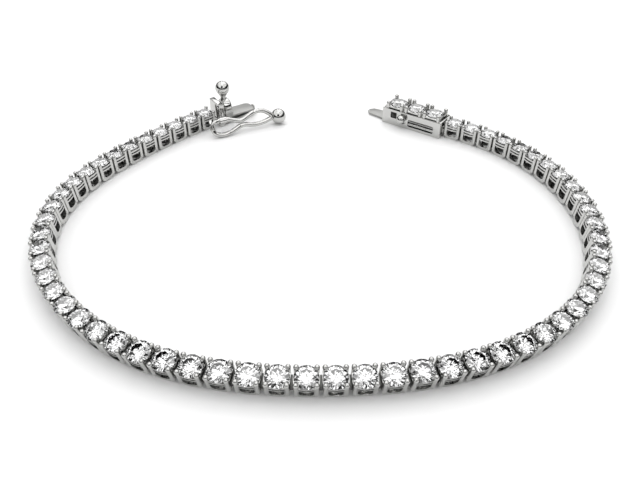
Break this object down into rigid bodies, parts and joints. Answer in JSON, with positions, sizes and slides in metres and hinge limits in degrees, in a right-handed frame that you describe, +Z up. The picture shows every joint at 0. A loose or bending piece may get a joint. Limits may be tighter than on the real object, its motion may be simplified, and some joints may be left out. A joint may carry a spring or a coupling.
{
  "type": "tennis bracelet lying open",
  "caption": "Row of square prong-set links with round stones, lying open in a ring, with a box clasp, a spring tongue and a looped safety catch.",
  "frame": {"origin": "on the table, under the middle of the whole ring", "axes": "X runs from the tongue's side to the box's side, seen from the front, Y runs from the front of the ring to the clasp at the back, Z is up, the way the stones look"},
  "size_m": [0.0746, 0.0634, 0.0072],
  "materials": {
    "white_gold": "polished white metal",
    "satin_gold": "satin white metal",
    "stone": "clear faceted stone"
  },
  "bodies": {
    "bracelet": {"chain_left": "white_gold", "chain_right": "white_gold", "clasp_box": "white_gold", "box_stone_1": "stone", "box_stone_2": "stone", "box_stone_3": "stone", "tongue_frame": "white_gold"},
    "spring": {"spring_leaf": "satin_gold"},
    "catch": {"safety_catch": "white_gold"}
  },
  "joints": [
    {"name": "spring_press", "type": "hinge", "parent": "bracelet", "child": "spring", "pos_m": [-0.01212, 0.0304, 0.00129], "axis": [0.5736, -0.8192, 0], "range_deg": [0, 6], "stiffness_Nm_per_rad": 0.05},
    {"name": "catch_swing", "type": "hinge", "parent": "bracelet", "child": "catch", "pos_m": [-0.01608, 0.0228, 0.00254], "axis": [-0.887, -0.4617, 0], "range_deg": [0, 100]}
  ]
}
